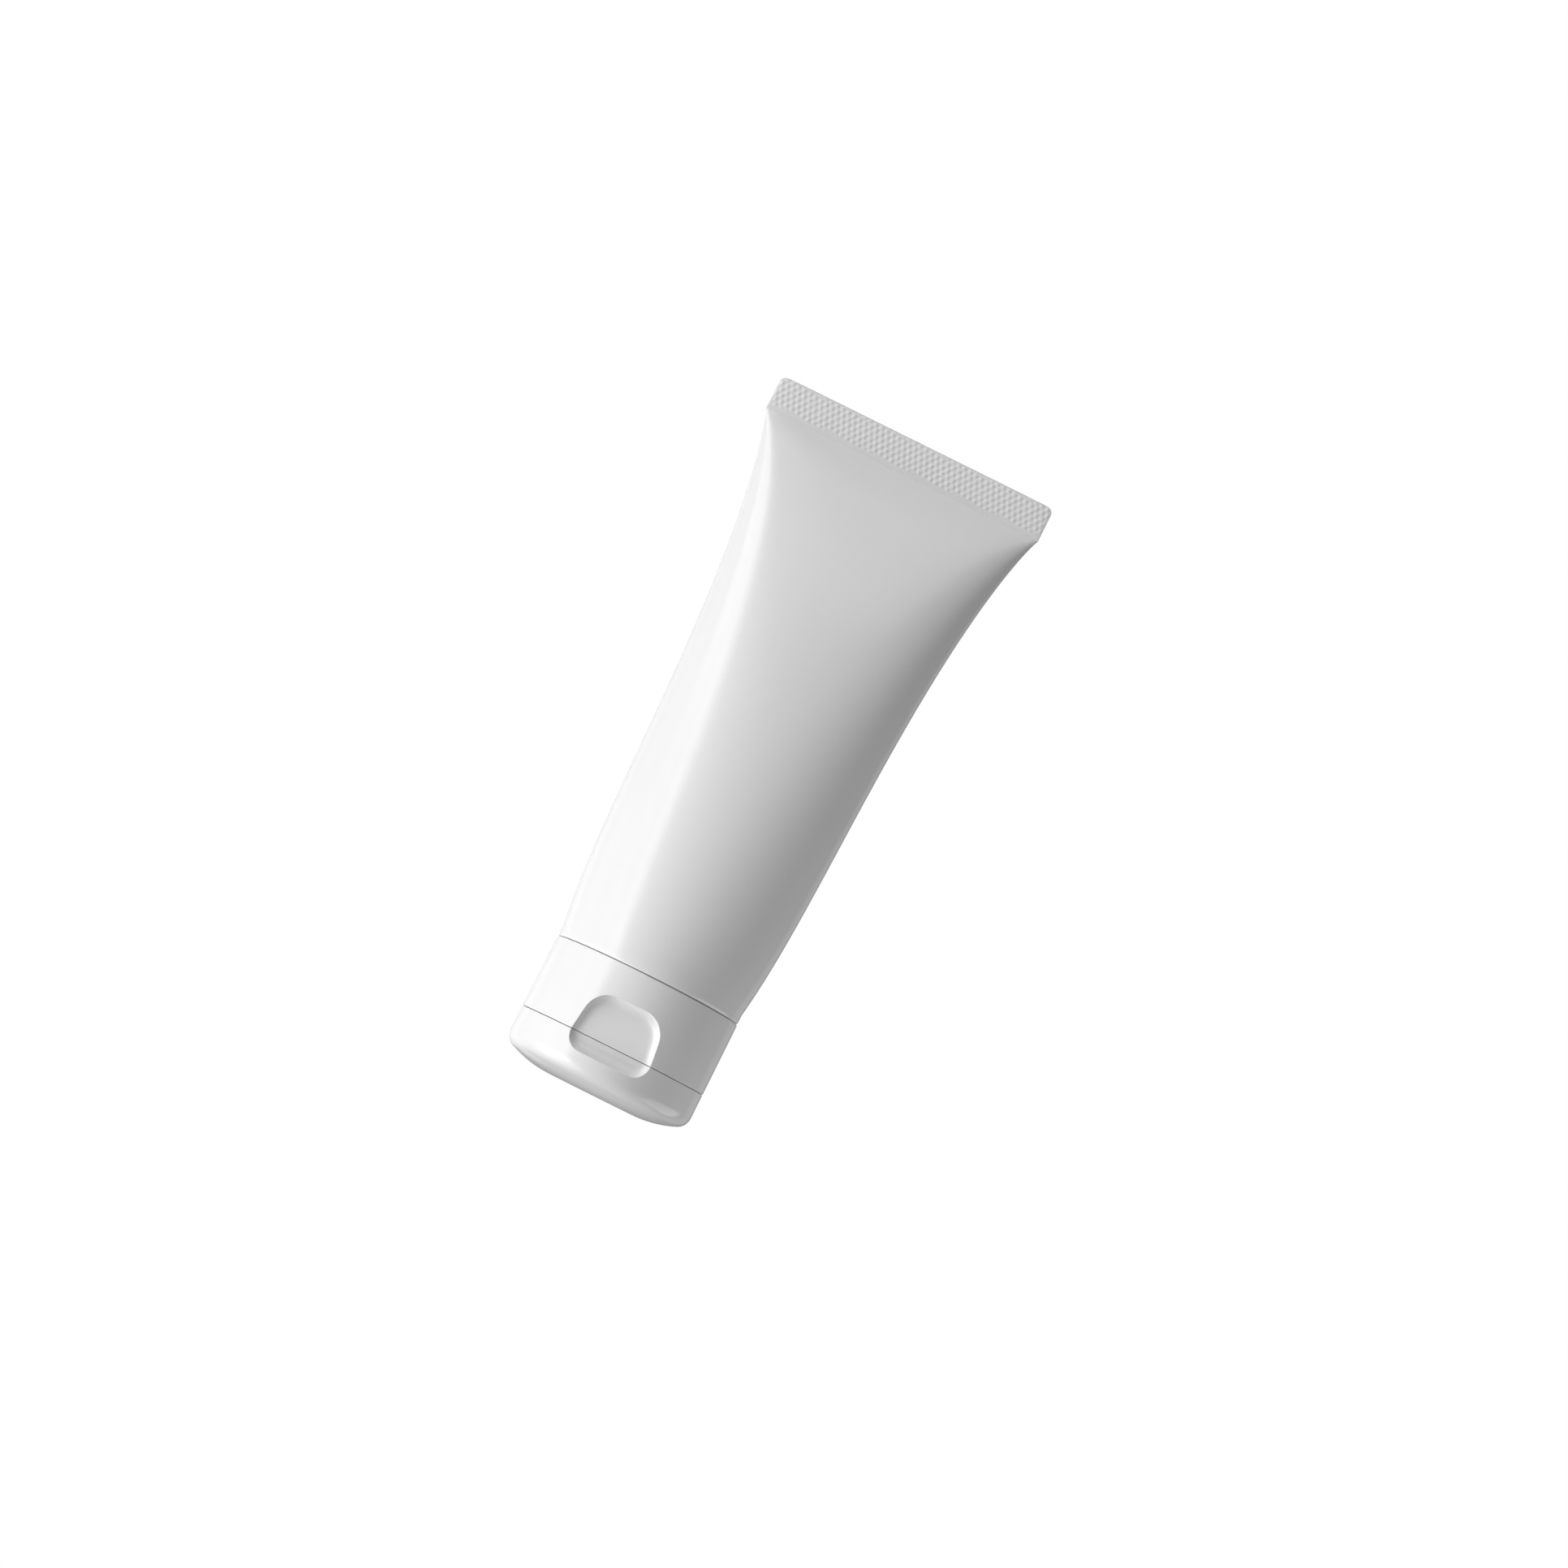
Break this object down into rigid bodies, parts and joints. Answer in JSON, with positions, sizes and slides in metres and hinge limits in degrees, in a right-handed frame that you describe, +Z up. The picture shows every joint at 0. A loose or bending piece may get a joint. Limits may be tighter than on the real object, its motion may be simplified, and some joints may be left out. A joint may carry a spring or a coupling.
{
  "type": "travel squeeze tube",
  "caption": "White plastic squeeze tube, round at a flush flip-top cap with a thumb recess and flattened to a wide crimped seal; it stands on its lid and dispenses lotion.",
  "frame": {"origin": "centre of the flat end of the closed lid, on which the tube stands", "axes": "+Z up the tube's axis to the crimped seal, +X along the seal, -Y out of the thumb recess, +Y out of the hinge"},
  "size_m": [0.0544, 0.035, 0.1302],
  "materials": {
    "sleeve_plastic": "satin",
    "cap_plastic": "satin"
  },
  "bodies": {
    "tube": {"tube_sleeve": "sleeve_plastic", "tube_head": "sleeve_plastic", "cap_base": "cap_plastic", "spout_insert": "cap_plastic", "hinge_films": "cap_plastic", "hinge_strap": "cap_plastic"},
    "lid": {"flip_lid": "cap_plastic"}
  },
  "joints": [
    {"name": "lid_hinge", "type": "hinge", "parent": "tube", "child": "lid", "pos_m": [0, 0.01642, 0.0085], "axis": [1, 0, 0], "range_deg": [0, 135], "deforming": ["hinge_films", "hinge_strap"]}
  ]
}
